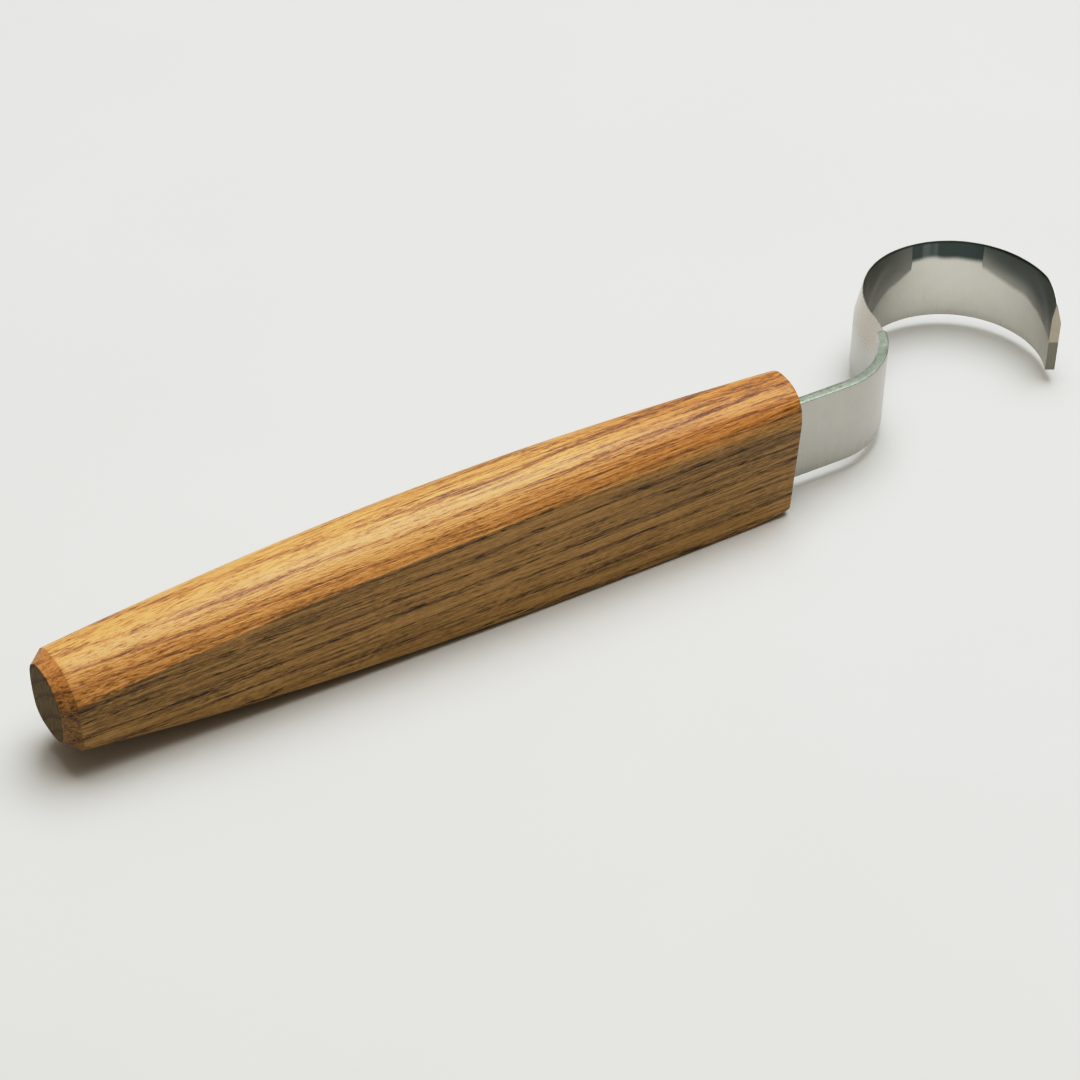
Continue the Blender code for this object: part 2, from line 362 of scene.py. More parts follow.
def steel_materials():
    return {
        "inner": steel("satin_steel_inner", (0.50, 0.485, 0.455), (0.42, 0.405, 0.380), 0.30,
                       dark_zones=painted_inner_reflections),
        "outer": steel("satin_steel_outer", (0.48, 0.475, 0.455), (0.40, 0.396, 0.380), 0.30),
        "bevel": steel("ground_bevel", (0.51, 0.472, 0.435), (0.43, 0.396, 0.362), 0.26,
                       streak=0.8),
        "spine": steel("milled_spine", (0.31, 0.340, 0.295), (0.13, 0.152, 0.125), 0.38,
                       line_contrast=0.9, streak=0.45),
        "end": steel("cut_end", (0.40, 0.362, 0.308), (0.24, 0.218, 0.185), 0.38,
                     dark_zones=darker_lower_end),
    }


# ---------------------------------------------------------------- oak

# All lengths in the wood's shaders are in millimetres.
RING_CENTRE = (-44.0, -36.0)   # the tree's middle in y and z, from the handle's axis
RING_SPACING = 2.35
GRAIN_TURN = (0.0, 1.1, -0.8)  # degrees

OAK_PALE = (0.53, 0.280, 0.092)
OAK_GOLD = (0.450, 0.218, 0.060)
OAK_HONEY = (0.350, 0.165, 0.042)
OAK_TAN = (0.220, 0.104, 0.027)
OAK_BROWN = (0.125, 0.058, 0.016)
OAK_STOPS = ((0.22, OAK_TAN), (0.46, OAK_HONEY), (0.72, OAK_GOLD))
OAK_RED = (0.200, 0.078, 0.024)
OAK_PORE = (0.024, 0.012, 0.005)
# painted light: the upright sides are tinted greener, as under cooler light
OAK_PAINTED_SIDE_LIGHT_TINT = (0.90, 1.00, 0.92)
# painted shade: the chamfer ring is darkened, as it misses the sheen
OAK_CHAMFER_SHADE_TINT = (0.76, 0.64, 0.54)
OAK_FRONT_TINT = (0.87, 0.76, 0.60)
CHAMFER_EDGE = (2.15, 2.30)    # where the chamfer's painted shade ends, from the sawn face
PAINTED_SHEEN_REACH = (-62.0, -22.0)    # x over which the painted sheen on the top fades, from the butt; under it the top is lighter and its pores fainter
DARKER_REACH = (-28.0, 14.0)   # x over which the top turns browner, towards the front
TONE_RANGE = (1.87, 2.51)      # of the summed noises, from brown to pale


def oak_rings(shader, place):
    """1 in the early wood of each growth ring, 0 in the late wood."""
    _, y, z = shader.split(place)
    slow = shader.noise(place, (0.022, 0.07, 0.07), detail=2.0)
    quick = shader.noise(place, (0.09, 0.5, 0.5), detail=3.0, rough=0.6, shift=(7.0, 2.0, 5.0))
    across = shader.math("SUBTRACT", y, RING_CENTRE[0])
    over = shader.math("SUBTRACT", z, RING_CENTRE[1])
    squares = shader.add(shader.times(across, across), shader.times(over, over))
    radius = shader.math("SQRT", squares)
    radius = shader.math("MULTIPLY_ADD", slow, 3.4, radius)
    radius = shader.math("MULTIPLY_ADD", quick, 0.55, radius)
    uneven = shader.noise(shader.join(radius, 0.0, 0.0), (0.28, 1.0, 1.0), detail=1.0)
    rings = shader.math("MULTIPLY_ADD", uneven, 2.2, radius)
    phase = shader.math("FRACT", shader.times(rings, 1 / RING_SPACING))
    falling = shader.ramp(phase, 0.0, 0.27, 1.0, 0.0)
    rising = shader.ramp(phase, 0.93, 1.0)
    return shader.math("MAXIMUM", falling, rising)


def oak_colour(shader, place, early, fibres, flecks, painted_sheen):
    """The wood without its pores: patches, streaks, fibres, flecks, curls and rings, and a painted
    sheen on the top near the butt.
    """
    patches = shader.noise(place, (0.020, 0.14, 0.14), detail=3.0, shift=(9.0, 3.0, 3.0))
    streaks = shader.noise(place, (0.034, 1.8, 1.8), detail=4.0, rough=0.62)
    turned = shader.moved(place, turn=(15.0, 12.0, 14.0))
    curl = shader.noise(turned, (0.50, 2.1, 2.1), detail=3.0, rough=0.65, shift=(4.0, 1.0, 8.0))
    curl = shader.times(shader.math("SUBTRACT", curl, 0.5), curl_patches(shader, place))
    ring_strength = shader.noise(place, (0.045, 0.35, 0.35), detail=2.0, shift=(4.0, 4.0, 0.0))
    ring = shader.times(early, shader.ramp(ring_strength, 0.32, 0.62, 0.25, 1.0))
    tone = shader.times(patches, 0.75)
    for layer, weight in (
        (streaks, 1.35),
        (fibres, 1.50),
        (flecks, 0.90),
        (curl, 1.3),
        (ring, -0.20),
        (painted_sheen, 0.07),
    ):
        tone = shader.math("MULTIPLY_ADD", layer, weight, tone)
    ramp = shader.tree.nodes.new("ShaderNodeValToRGB")
    shader.put(ramp.inputs[0], shader.ramp(tone, *TONE_RANGE, smooth=False))
    stops = ramp.color_ramp.elements
    stops[0].position, stops[0].color = 0.0, (*OAK_BROWN, 1.0)
    stops[1].position, stops[1].color = 1.0, (*OAK_PALE, 1.0)
    for position, tint in OAK_STOPS:
        stop = stops.new(position)
        stop.color = (*tint, 1.0)
    return shader.mix(shader.times(ring, 0.46), ramp.outputs[0], OAK_RED)


def oak_pores(shader, place, early, upward, painted_sheen):
    """Short and long open pores. They are fainter on the top, and most of all near the butt, under
    the painted sheen.
    """
    vessels = shader.noise(place, (0.36, 4.8, 4.8), detail=2.0, rough=0.5, shift=(5.0, 0.0, 9.0))
    grooves = shader.noise(place, (0.14, 3.9, 3.9), detail=2.0, rough=0.5, shift=(2.0, 8.0, 1.0))
    short_pores = shader.ramp(vessels, 0.565, 0.61)
    short_pores = shader.times(short_pores, shader.ramp(early, 0.05, 0.5, 0.14, 1.0))
    long_pores = shader.ramp(grooves, 0.60, 0.66)
    long_pores = shader.times(long_pores, shader.ramp(early, 0.3, 0.8, 0.05, 0.9))
    pores = shader.math("MAXIMUM", short_pores, long_pores)
    pores = shader.times(pores, shader.ramp(upward, 0.0, 1.0, 1.0, 0.42, smooth=False))
    return shader.times(pores, shader.ramp(painted_sheen, 0.0, 1.0, 1.0, 0.50, smooth=False))


def oak():
    shader = Shader("oiled_oak", roughness=0.42)
    shader.surface.inputs["Specular IOR Level"].default_value = 0.32
    place = shader.object_mm(turn=GRAIN_TURN)
    x, y, _ = shader.split(shader.object_mm())
    facing = shader.tree.nodes.new("ShaderNodeNewGeometry").outputs["Normal"]
    _, _, facing_up = shader.split(facing)
    upward = shader.ramp(facing_up, 0.25, 0.60)
    # Painted sheen: the top near the butt is made lighter and its pores fainter.
    painted_sheen = shader.times(upward, shader.ramp(x, *PAINTED_SHEEN_REACH, 1.0, 0.0))

    early = oak_rings(shader, place)
    fibres = shader.noise(place, (0.10, 4.4, 4.4), detail=3.0, rough=0.65, shift=(1.0, 4.0, 2.0))
    flecks = shader.noise(place, (0.85, 4.0, 4.0), detail=2.0, rough=0.6, shift=(3.0, 9.0, 6.0))
    pores = oak_pores(shader, place, early, upward, painted_sheen)
    colour = oak_colour(shader, place, early, fibres, flecks, painted_sheen)
    colour = shader.mix(shader.times(pores, 0.88), colour, OAK_PORE)

    # Painted light: the upright sides are tinted greener, standing in for the cooler light on
    # them.
    side = shader.ramp(facing_up, 0.20, 0.60, 1.0, 0.0)
    darker = shader.times(upward, shader.ramp(x, *DARKER_REACH))
    from_butt = shader.math("MULTIPLY_ADD", y, -BUTT_SKEW, shader.add(x, -BUTT_X / MM))
    # Painted shade on the chamfer ring, standing in for its missing sheen.
    chamfer = shader.ramp(from_butt, *CHAMFER_EDGE, 0.75, 0.0)
    for share, tint in (
        (side, OAK_PAINTED_SIDE_LIGHT_TINT),
        (darker, OAK_FRONT_TINT),
        (chamfer, OAK_CHAMFER_SHADE_TINT),
    ):
        colour = shader.mix(share, colour, tint, mode="MULTIPLY")

    rough = shader.ramp(fibres, 0.35, 0.65, 0.33, 0.45)
    rough = shader.math("MULTIPLY_ADD", pores, 0.25, rough)
    height = shader.math("SUBTRACT", shader.times(fibres, 0.8), pores)
    relief = shader.bump(height, 0.09 * MM)
    relief = shader.bump(flecks, 0.07 * MM, under=relief)
    return shader.finish(base_color=colour, roughness=rough, normal=relief)


def curl_patches(shader, place):
    """Where the grain curls: irregular patches, stronger towards the butt."""
    x, _, _ = shader.split(place)
    area = shader.noise(place, (0.055, 0.17, 0.17), detail=3.0, rough=0.6, shift=(1.5, 6.0, 2.5))
    return shader.times(shader.ramp(area, 0.47, 0.62), shader.ramp(x, -30.0, 10.0, 1.0, 0.35))


def end_grain():
    """The sawn butt: darker, because it soaks up more oil, with rings and short rays."""
    shader = Shader("oak_end_grain", roughness=0.75)
    shader.surface.inputs["Specular IOR Level"].default_value = 0.2
    place = shader.object_mm(turn=GRAIN_TURN)
    early = oak_rings(shader, place)
    rays = shader.noise(place, (0.2, 3.6, 0.50), detail=4.0, rough=0.6)
    dots = shader.noise(place, (0.5, 3.4, 3.4), detail=2.0, rough=0.5)
    colour = shader.mix(shader.ramp(rays, 0.35, 0.65), (0.095, 0.062, 0.024), (0.19, 0.125, 0.052))
    colour = shader.mix(shader.times(early, 0.55), colour, (0.058, 0.034, 0.014))
    pores = shader.times(shader.ramp(dots, 0.58, 0.66), early)
    colour = shader.mix(pores, colour, (0.03, 0.014, 0.006))
    relief = shader.bump(shader.math("SUBTRACT", rays, pores), 0.06 * MM, 0.8)
    return shader.finish(base_color=colour, normal=relief)


def resin():
    shader = Shader("dark_resin", roughness=0.35)
    place = shader.object_mm()
    cloud = shader.noise(place, (1.5, 1.5, 1.5), detail=3.0)
    colour = shader.mix(shader.ramp(cloud, 0.35, 0.65), (0.10, 0.085, 0.055), (0.19, 0.15, 0.09))
    relief = shader.bump(cloud, 0.03 * MM, 0.5)
    return shader.finish(base_color=colour, normal=relief)


# ---------------------------------------------------------------- blade

STATION_STEP = 0.4 * MM
CORNER_RADIUS = 0.10 * MM
GROUND_CORNER_RADIUS = 0.02 * MM
CORNER_SEGMENTS = 3
TANG_STATIONS = 20
SHOULDER_STATIONS = 6
SHOULDER_MARGIN = 0.1 * MM
TIP_DROP_OVERRUN = 2.0 * MM     # the drop's curve runs on past the tip, so it is drawn deeper
TIP_DROP_SCALE = 1.28
EDGE_WEAR = 0.018 * MM
WORN_BAND = 0.5 * MM
BLADE_SHARP = 24                # degrees


def path_at(distance):
    """x, y and heading at a distance along the strip's inner face."""
    x, y, heading = PATH_START_X, INNER_FACE_Y, 0.0
    if distance <= 0.0:
        return x + distance, y, heading
    runs = [(NECK_STRAIGHT, 0.0)]
    for radius, turn in BENDS:
        if radius is None:
            runs.append((turn, 0.0))
        else:
            runs.append((radius * math.radians(abs(turn)), math.copysign(1 / radius, turn)))
    for length, curvature in runs:
        part = min(distance, length)
        if curvature:
            x += (math.sin(heading + curvature * part) - math.sin(heading)) / curvature
            y -= (math.cos(heading + curvature * part) - math.cos(heading)) / curvature
            heading += curvature * part
        else:
            x += part * math.cos(heading)
            y += part * math.sin(heading)
        distance -= part
        if distance <= 0.0:
            break
    return x, y, heading


def path_length():
    arcs = sum(radius * math.radians(abs(turn)) for radius, turn in BENDS if radius)
    return NECK_STRAIGHT + arcs + sum(turn for radius, turn in BENDS if radius is None)


PATH_END = path_length()


def tang_half_width(x):
    depth = max(0.0, TAPER_START_X - x)
    taper = min(1.0, depth / TANG_TAPER_LENGTH)
    return (STRIP_WIDTH + (TANG_END_WIDTH - STRIP_WIDTH) * taper) / 2


def strip_corners(distance):
    """Corner points (depth, height, rounding) and the number of steps to the next corner."""
    x, _, _ = path_at(distance)
    half = tang_half_width(x) if distance < 0.0 else STRIP_WIDTH / 2
    ground = smooth_share(distance, BEVEL_START, BEVEL_START + BEVEL_RUNOUT)
    top_inner = EDGE_DEPTH * ground
    top_outer = blend(STRIP_THICKNESS, EDGE_DEPTH + EDGE_THICKNESS, ground)
    drop_end = PATH_END + TIP_DROP_OVERRUN
    drop = TIP_DROP_SCALE * smooth_share(distance, PATH_END - TIP_DROP_LENGTH, drop_end)
    top = half - TIP_DROP * drop
    rounding = blend(CORNER_RADIUS, GROUND_CORNER_RADIUS, ground)
    return (
        (0.0, -half, CORNER_RADIUS, 8),
        (0.0, STRIP_WIDTH / 2 - INNER_BEVEL_HEIGHT, 0.0, 6),
        (top_inner, top, rounding, 3),
        (top_outer, top, rounding, 8),
        (STRIP_THICKNESS, STRIP_WIDTH / 2 - OUTER_BEVEL_HEIGHT, 0.0, 8),
        (STRIP_THICKNESS, -half, CORNER_RADIUS, 3),
    )


# The material of the side after each corner
SIDE_NAMES = ("inner", "inner", "spine", "bevel", "outer", "spine")


def strip_outline(distance):
    """Points (depth, height) round the strip, and the side that each starts."""
    corners = strip_corners(distance)
    count = len(corners)
    points, sides = [], []
    for index in range(count):
        depth, height, rounding, steps = corners[index]
        before, after = corners[index - 1], corners[(index + 1) % count]
        here = Vector((depth, height))
        back = (Vector(before[:2]) - here).normalized() * rounding
        ahead = (Vector(after[:2]) - here).normalized() * rounding
        if rounding:
            for step in range(CORNER_SEGMENTS + 1):
                share = step / CORNER_SEGMENTS
                points.append(here + back * (1 - share) ** 2 + ahead * share ** 2)
                sides.append(SIDE_NAMES[index])
        else:
            points.append(here)
            sides.append(SIDE_NAMES[index])
        goal = Vector(after[:2])
        stop = goal + (here - goal).normalized() * after[2]
        start = points[-1].copy()
        for step in range(1, steps):
            points.append(start.lerp(stop, step / steps))
            sides.append(SIDE_NAMES[index])
    return points, sides


def make_blade(materials):
    tang_end = TANG_END_X - PATH_START_X
    distances = [tang_end * (1 - step / TANG_STATIONS) for step in range(TANG_STATIONS)]
    steps = math.ceil(PATH_END / STATION_STEP)
    distances += [PATH_END * step / steps for step in range(steps + 1)]
    shoulder = [
        BEVEL_START + BEVEL_RUNOUT * step / SHOULDER_STATIONS
        for step in range(SHOULDER_STATIONS + 1)
    ]
    low, high = shoulder[0] - SHOULDER_MARGIN, shoulder[-1] + SHOULDER_MARGIN
    distances = [distance for distance in distances if not low < distance < high]
    distances = sorted(distances + shoulder)
    sections, places = [], []
    for distance in distances:
        x, y, heading = path_at(distance)
        outward = Vector((-math.sin(heading), math.cos(heading), 0.0))
        points, sides = strip_outline(distance)
        section = []
        for depth, height in points:
            wear = 0.0
            if height > STRIP_WIDTH / 2 - WORN_BAND:
                spot = Vector((distance * 900, depth * 900, 1.0))
                wear = EDGE_WEAR * abs(noise.noise(spot))
            section.append(Vector((x, y, STRIP_CENTRE_Z + height - wear)) + outward * depth)
            places.append((distance / MM, height / MM, depth / MM))
        sections.append(section)
    builder = loft(sections)
    names = list(materials)
    count = len(sections[0])
    for index, face in enumerate(builder.faces):
        if index < (len(sections) - 1) * count:
            face.material_index = names.index(sides[index % count])
            station = index // count
            if distances[station] < BEVEL_START and sides[index % count] == "bevel":
                face.material_index = names.index("outer")
        else:
            face.material_index = names.index("end")
    blade = mesh_object("knife_blade", builder, materials.values(), BLADE_SHARP)
    marks = blade.data.attributes.new("strip", "FLOAT_VECTOR", "POINT")
    marks.data.foreach_set("vector", [number for place in places for number in place])
    return blade


# ---------------------------------------------------------------- handle

HALF_WIDTHS = (6.00 * MM, 6.20 * MM, 6.05 * MM, 5.40 * MM)
SIDE_TOPS = (13.60 * MM, 18.25 * MM, 19.30 * MM, 16.80 * MM)
CROWN_HEIGHTS = (4.6 * MM, 4.0 * MM, 5.9 * MM)
NEAR_CROWN_POWER = 2.3          # the crown meets the near side in a crease,
NEAR_CROWN_FILLS = (0.55, 1.10)  # which fades over these fractions of the length,
FAR_CROWN_EXPONENT = 2.5        # and runs smoothly into the far side
REST_FLAT_START = 0.69          # this and the other starts and reaches are fractions too
BUTT_RISE = 4.0 * MM
BUTT_RISE_POWER = 1.5
LOWER_EDGE_RADIUS = 0.80 * MM
BUTT_LOWER_EDGE_RADIUS = 3.0 * MM
BUTT_ROUNDING_REACH = 0.35
BUTT_CHAMFER_LENGTH = 2.2 * MM
BUTT_CHAMFER_SIDE = 1.30 * MM
BUTT_CHAMFER_TOP = 1.05 * MM
BUTT_OVAL = 0.5                 # how far the sawn face goes from the shaft's outline to an oval
FRONT_RISE = 0.80 * MM
FRONT_RISE_START = 0.932
FRONT_EASING = 0.30 * MM
FRONT_EASING_RINGS = (          # back from the front face, and inset
    (FRONT_EASING, 0.0),
    (0.12 * MM, 0.04 * MM),
    (0.04 * MM, 0.12 * MM),
    (0.0, FRONT_EASING),
)
BUTT_RINGS = (                  # share of the chamfer, inset, and step back from the sawn face
    (0.0, 0.8 * MM, 0.0),
    (0.0, 0.12 * MM, 0.0),
    (0.0, 0.03 * MM, 0.03 * MM),
    (0.03, 0.0, 0.0),
    (0.25, 0.0, 0.0),
    (0.5, 0.0, 0.0),
    (0.75, 0.0, 0.0),
    (0.93, 0.0, 0.0),
    (0.985, 0.0, 0.0),
)
END_BEND_SHARE = 12             # the ends' skew and rake fade out over 1/12 of the length
WAVE_DEPTH = 0.07 * MM
RIPPLE_DEPTH = 0.016 * MM
FLAT_TOLERANCE = 0.02 * MM      # points this low belong to the rest face and stay flat
HANDLE_SHARP = 26               # degrees
HANDLE_STATIONS = 190
CROWN_STEPS = 34
SIDE_STEPS = 22
CORNER_STEPS = 8
FLAT_STEPS = 14


def handle_outline(fraction):
    """Outline in (y, z): flat sides, a rounded crown, and a flat underside with eased edges."""
    half = through(HALF_WIDTHS, fraction)
    side_top = through(SIDE_TOPS, fraction)
    crown = through(CROWN_HEIGHTS, fraction)
    lift = max(0.0, 1.0 - fraction / REST_FLAT_START)
    underside = BUTT_RISE * lift ** BUTT_RISE_POWER
    front_share = max(0.0, fraction - FRONT_RISE_START) / (1 - FRONT_RISE_START)
    underside += FRONT_RISE * front_share ** 2
    rounding = max(0.0, 1.0 - fraction / BUTT_ROUNDING_REACH) ** 2
    radius = blend(LOWER_EDGE_RADIUS, BUTT_LOWER_EDGE_RADIUS, rounding)
    outline = []
    fullness = smooth_share(fraction, *NEAR_CROWN_FILLS)
    for step in range(CROWN_STEPS):
        across = math.cos(math.pi / 2 * step / CROWN_STEPS)
        lean = 1 - across ** NEAR_CROWN_POWER
        full = (1 - across ** FAR_CROWN_EXPONENT) ** (1 / FAR_CROWN_EXPONENT)
        outline.append((-half * across, side_top + crown * blend(lean, full, fullness)))
    for step in range(CROWN_STEPS + 1):
        angle = math.pi / 2 * step / CROWN_STEPS
        across = math.sin(angle) ** (2 / FAR_CROWN_EXPONENT)
        up = abs(math.cos(angle)) ** (2 / FAR_CROWN_EXPONENT)
        outline.append((half * across, side_top + crown * up))
    side_foot = underside + radius
    for step in range(1, SIDE_STEPS):
        outline.append((half, blend(side_top, side_foot, step / SIDE_STEPS)))
    for step in range(CORNER_STEPS + 1):
        angle = math.pi / 2 * step / CORNER_STEPS
        y = half - radius + radius * math.cos(angle)
        outline.append((y, side_foot - radius * math.sin(angle)))
    for step in range(1, FLAT_STEPS):
        outline.append((blend(half - radius, radius - half, step / FLAT_STEPS), underside))
    for step in range(CORNER_STEPS + 1):
        angle = math.pi / 2 * (1 - step / CORNER_STEPS)
        y = -(half - radius + radius * math.cos(angle))
        outline.append((y, side_foot - radius * math.sin(angle)))
    for step in range(1, SIDE_STEPS):
        outline.append((-half, blend(side_foot, side_top, step / SIDE_STEPS)))
    return outline


def drawn_in(outline, side, end):
    """The outline drawn in by `side` across and by `end` at the top and bottom."""
    half = max(y for y, _ in outline)
    top = max(z for _, z in outline)
    middle = (top + min(z for _, z in outline)) / 2
    narrow, low = 1 - side / half, 1 - end / (top - middle)
    return [(y * narrow, middle + (z - middle) * low) for y, z in outline]


def ovalled(outline, share):
    """The outline moved part of the way to the ellipse of the same width and height."""
    half = max(y for y, _ in outline)
    top = max(z for _, z in outline)
    middle = (top + min(z for _, z in outline)) / 2
    tall = top - middle
    result = []
    for y, z in outline:
        angle = math.atan2((z - middle) / tall, y / half)
        oval = (half * math.cos(angle), middle + tall * math.sin(angle))
        result.append((blend(y, oval[0], share), blend(z, oval[1], share)))
    return result


def hand_worked(point, outward):
    """A point moved in a little where sanding has left the surface uneven."""
    long_waves = noise.noise(Vector((point.x * 70, point.y * 260, point.z * 260)))
    small = Vector((point.x * 260, point.y * 700, point.z * 700)) + Vector((5, 2, 9))
    ripples = noise.noise(small)
    depth = WAVE_DEPTH * (0.5 + 0.5 * long_waves) + RIPPLE_DEPTH * (0.5 + 0.5 * ripples)
    return point - outward * depth


def butt_sections():
    """The sawn face, its slightly broken edge, and the chamfer behind it."""
    first = handle_outline(0.0)
    sections = []
    for share, broken, back in BUTT_RINGS:
        inset = 1.0 - share
        side, end = BUTT_CHAMFER_SIDE * inset + broken, BUTT_CHAMFER_TOP * inset + broken
        outline = ovalled(drawn_in(first, side, end), BUTT_OVAL * inset)
        x = BUTT_X + BUTT_CHAMFER_LENGTH * share + back
        sections.append([Vector((x + BUTT_SKEW * y, y, z)) for y, z in outline])
    return sections


def shaft_sections():
    """The shaft from the chamfer to the front, whose edge is eased."""
    start = BUTT_X + BUTT_CHAMFER_LENGTH
    length = HANDLE_FRONT_X - start
    sections = []
    for step in range(HANDLE_STATIONS - 1):
        fraction = step / (HANDLE_STATIONS - 1)
        x = start + length * fraction
        if HANDLE_FRONT_X - x < FRONT_EASING * 1.5:
            continue
        skew = BUTT_SKEW * max(0.0, 1 - fraction * END_BEND_SHARE)
        rake = FRONT_RAKE * max(0.0, 1 - (1 - fraction) * END_BEND_SHARE)
        sections.append([
            Vector((x + skew * y + rake * (z - STRIP_CENTRE_Z), y, z))
            for y, z in handle_outline(fraction)
        ])
    front = handle_outline(1.0)
    for back, inset in FRONT_EASING_RINGS:
        x = HANDLE_FRONT_X - back
        sections.append([
            Vector((x + FRONT_RAKE * (z - STRIP_CENTRE_Z), y, z))
            for y, z in drawn_in(front, inset, inset)
        ])
    return sections


def make_handle(materials):
    sections = butt_sections() + shaft_sections()
    worked = []
    for section in sections:
        middle = sum(section, Vector()) / len(section)
        ring = []
        for index, point in enumerate(section):
            along = section[(index + 1) % len(section)] - section[index - 1]
            outward = Vector((0.0, along.z, -along.y)).normalized()
            if outward.dot(point - middle) < 0:
                outward.negate()
            flat = point.z < FLAT_TOLERANCE
            ring.append(point if flat else hand_worked(point, outward))
        worked.append(ring)
    builder = loft(worked)
    builder.faces.ensure_lookup_table()
    names = list(materials)
    for face in builder.faces:
        face.material_index = names.index("oak")
    first_two_rings = builder.faces[:len(worked[0]) * 2]
    for face in list(first_two_rings) + list(builder.faces[-2:]):
        face.material_index = names.index("end")
    handle = mesh_object("knife_handle", builder, materials.values(), HANDLE_SHARP)
    cutter = slot_cutter()
    cut = handle.modifiers.new("slot", "BOOLEAN")
    cut.operation = "DIFFERENCE"
    cut.solver = "EXACT"
    cut.object = cutter
    return apply_modifiers(handle, cutter)


def apply_modifiers(item, cutter):
    graph = bpy.context.evaluated_depsgraph_get()
    mesh = bpy.data.meshes.new_from_object(item.evaluated_get(graph))
    item.modifiers.clear()
    item.data = mesh
    mesh.name = item.name
    bpy.data.objects.remove(cutter)
    mesh.set_sharp_from_angle(angle=math.radians(HANDLE_SHARP))
    return item


# ---------------------------------------------------------------- tang seat

SLOT_GAP = 0.30 * MM
RESIN_GAP = 0.02 * MM
RESIN_RECESS = 0.25 * MM
RESIN_STEPS = 64
RESIN_MARGIN = 0.03 * MM        # between the resin and the slot's walls
RESIN_MIDDLE_Y = (bed_low.y + bed_high.y) / 2
CUTTER_REACH = 4.0 * MM


def slot_cutter():
    """A tapered block around the tang, larger than it by the slot's gap on every side."""
    side_view = []
    for sign in (1, -1):
        height = sign * (STRIP_WIDTH / 2 + SLOT_GAP)
        edge = [
            (HANDLE_FRONT_X + CUTTER_REACH + FRONT_RAKE * height, height),
            (TAPER_START_X, height),
            (TANG_END_X - SLOT_GAP, sign * (TANG_END_WIDTH / 2 + SLOT_GAP)),
        ]
        side_view.extend(edge if sign == 1 else reversed(edge))
    half = STRIP_THICKNESS / 2 + SLOT_GAP
    sections = [
        [Vector((x, STRIP_MIDDLE_Y + side, STRIP_CENTRE_Z + z)) for x, z in side_view]
        for side in (-half, half)
    ]
    return mesh_object("slot_cutter", loft(sections), (), 30)


def make_resin(material):
    """The resin bed around the tang, its mouth sunk a little and curved up the steel."""
    outer_gap = SLOT_GAP - RESIN_MARGIN
    mouth = (
        (RESIN_GAP, 0.12 * MM),
        (RESIN_GAP + 0.06 * MM, -0.10 * MM),
        (0.5 * SLOT_GAP, -RESIN_RECESS),
        (outer_gap, -RESIN_RECESS - 0.02 * MM),
    )
    builder = bmesh.new()

    def rounded(turn, fullness):
        return math.copysign(min(1.0, abs(turn) * fullness), turn)

    def ring(offset, x_of, width=STRIP_WIDTH):
        points = []
        half_y, half_z = STRIP_THICKNESS / 2 + offset, width / 2 + offset
        for step in range(RESIN_STEPS):
            angle = 2 * math.pi * step / RESIN_STEPS
            y = half_y * rounded(math.cos(angle), 1.6)
            z = half_z * rounded(math.sin(angle), 1.25)
            points.append(builder.verts.new((x_of(z), RESIN_MIDDLE_Y + y, STRIP_CENTRE_Z + z)))
        return points

    rings = [
        ring(RESIN_GAP, lambda z: TANG_END_X - RESIN_GAP, TANG_END_WIDTH),
        ring(RESIN_GAP, lambda z: TAPER_START_X),
    ]
    for offset, reach in mouth:
        front_x = HANDLE_FRONT_X + reach
        rings.append(ring(offset, lambda z, front_x=front_x: front_x + FRONT_RAKE * z))
    rings.append(ring(outer_gap, lambda z: TAPER_START_X))
    rings.append(ring(outer_gap, lambda z: TANG_END_X - outer_gap, TANG_END_WIDTH))
    for first, second in zip(rings, rings[1:]):
        for index in range(RESIN_STEPS):
            beside = (index + 1) % RESIN_STEPS
            builder.faces.new((first[index], first[beside], second[beside], second[index]))
    builder.faces.new(rings[0])
    builder.faces.new(rings[-1])
    return mesh_object("tang_epoxy", builder, (material,), 40)


# ---------------------------------------------------------------- stage

FLOOR_DROP = 0.02 * MM
FLOOR_TINTS = ((0.500, 0.500, 0.484), (0.512, 0.512, 0.496))
LIT_FROM = (0.50, 0.86, 0.0)
WORLD_DARK = (0.060, 0.056, 0.048, 1.0)
WORLD_LIGHT = (0.42, 0.44, 0.43, 1.0)
# Place, size, watts and colour; all aim at the origin
LIGHTS = {
    "key": ((0.16, 0.12, 0.85), (0.70, 0.70), 14.9, (0.915, 0.968, 1.0)),
    "room": ((0.10, -0.04, 0.70), (1.50, 1.50), 4.0, (1.0, 0.74, 0.48)),
}
CAMERA_PLACE = (-0.1758, -0.2876, 0.3091)
CAMERA_TILT = 47.28             # degrees
CAMERA_TURN = -28.10
CAMERA_LENS = 100.0
CAMERA_SENSOR = 36.0


def make_floor():
    builder = bmesh.new()
    bmesh.ops.create_grid(builder, x_segments=1, y_segments=1, size=3.0)
    shader = Shader("pale_table", roughness=0.85)
    shader.surface.inputs["Specular IOR Level"].default_value = 0.2
    place = shader.object_mm()
    mottle = shader.noise(place, (0.02, 0.02, 0.02), detail=3.0)
    colour = shader.mix(shader.ramp(mottle, 0.3, 0.7), *FLOOR_TINTS)
    floor = mesh_object("floor", builder, (shader.finish(base_color=colour),), 30)
    floor.location.z = cad_low.z - FLOOR_DROP


def area_light(name, place, size, watts, colour):
    light = bpy.data.lights.new(name, "AREA")
    light.shape = "RECTANGLE"
    light.size, light.size_y = size
    light.energy = watts
    light.color = colour
    item = bpy.data.objects.new(name, light)
    item.location = place
    item.rotation_euler = (-Vector(place)).to_track_quat("-Z", "Y").to_euler()
    bpy.context.scene.collection.objects.link(item)


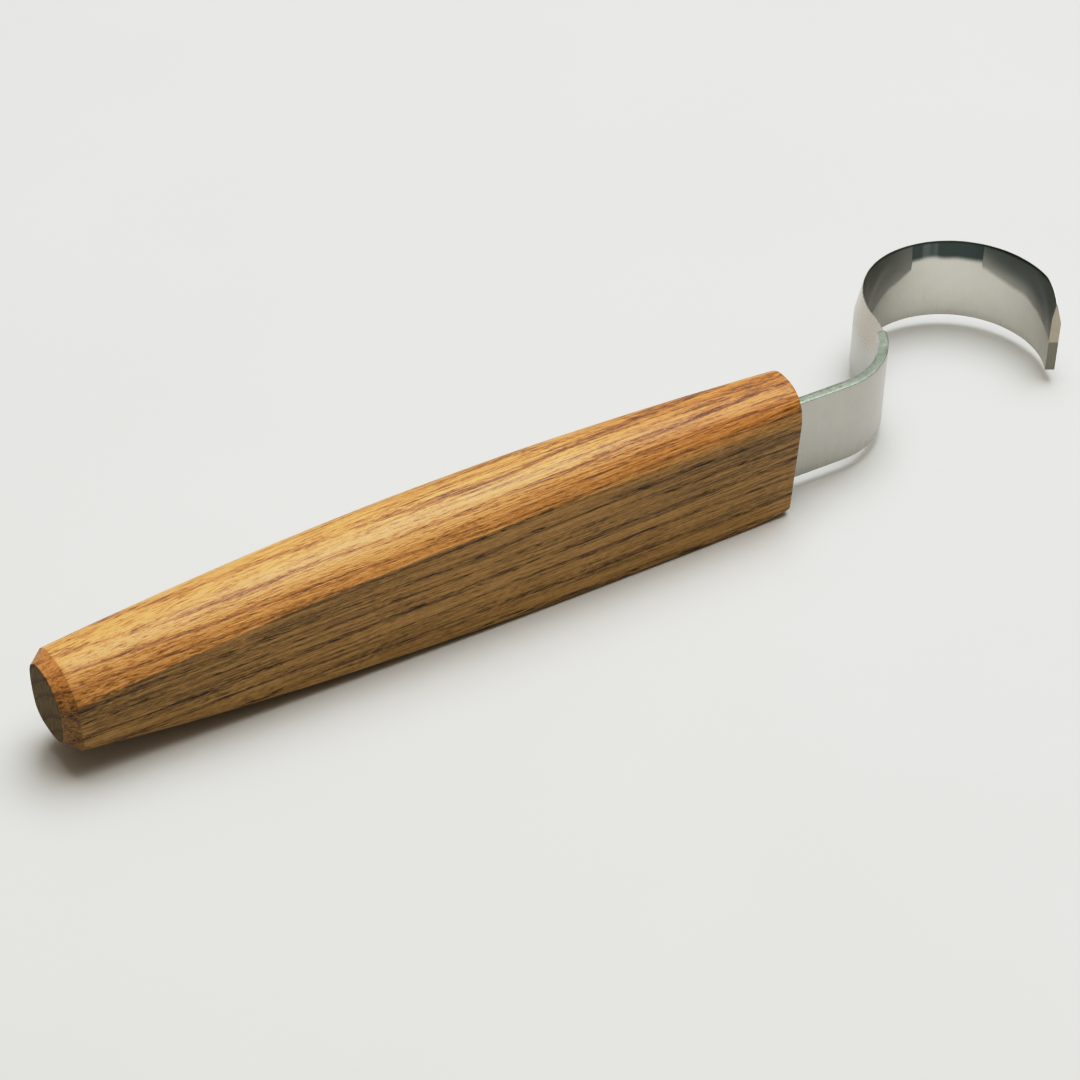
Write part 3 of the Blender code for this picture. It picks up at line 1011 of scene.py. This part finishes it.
def make_world():
    """A dim studio: lighter behind the knife and to its right, dark on the near side."""
    world = bpy.data.worlds.new("studio")
    bpy.context.scene.world = world
    world.use_nodes = True
    nodes, links = world.node_tree.nodes, world.node_tree.links
    place = nodes.new("ShaderNodeTexCoord")
    along = nodes.new("ShaderNodeVectorMath")
    along.operation = "DOT_PRODUCT"
    along.inputs[1].default_value = LIT_FROM
    share = nodes.new("ShaderNodeMapRange")
    share.inputs["From Min"].default_value = -0.4
    share.inputs["From Max"].default_value = 0.8
    ramp = nodes.new("ShaderNodeValToRGB")
    ramp.color_ramp.elements[0].color = WORLD_DARK
    ramp.color_ramp.elements[1].color = WORLD_LIGHT
    links.new(place.outputs["Generated"], along.inputs[0])
    links.new(along.outputs["Value"], share.inputs["Value"])
    links.new(share.outputs[0], ramp.inputs[0])
    links.new(ramp.outputs[0], nodes["Background"].inputs["Color"])


# Scene brightness and shown brightness, with soft highlights on the pale table
TONES = (
    (0.03, 0.018),
    (0.09, 0.064),
    (0.22, 0.175),
    (0.40, 0.36),
    (0.60, 0.555),
    (0.83, 0.72),
    (1.05, 0.815),
    (1.30, 0.85),
)
TONE_TOP = 1.60
TONE_TOP_SHOWN = 0.87


def set_tones():
    view = bpy.context.scene.view_settings
    view.view_transform = "Standard"
    view.use_curve_mapping = True
    mapping = view.curve_mapping
    mapping.white_level = (TONE_TOP,) * 3
    curve = mapping.curves[3]
    for bright, shown in TONES:
        curve.points.new(bright / TONE_TOP, shown)
    curve.points[len(curve.points) - 1].location = (1.0, TONE_TOP_SHOWN)
    mapping.update()


def make_camera():
    camera = bpy.data.cameras.new("camera")
    camera.lens = CAMERA_LENS
    camera.sensor_width = CAMERA_SENSOR
    item = bpy.data.objects.new("camera", camera)
    item.location = CAMERA_PLACE
    item.rotation_euler = (math.radians(CAMERA_TILT), 0.0, math.radians(CAMERA_TURN))
    bpy.context.scene.collection.objects.link(item)
    bpy.context.scene.camera = item


# ---------------------------------------------------------------- assembly

make_camera()
make_world()
make_floor()
for name, settings in LIGHTS.items():
    area_light(name, *settings)
set_tones()

blade = make_blade(steel_materials())
handle = make_handle({"oak": oak(), "end": end_grain()})
epoxy = make_resin(resin())
for piece, node, slot in (
    (blade, "blade", "steel"),
    (handle, "handle", "oak"),
    (epoxy, "tang_adhesive", "adhesive"),
):
    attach(piece, "root")
    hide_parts(node)
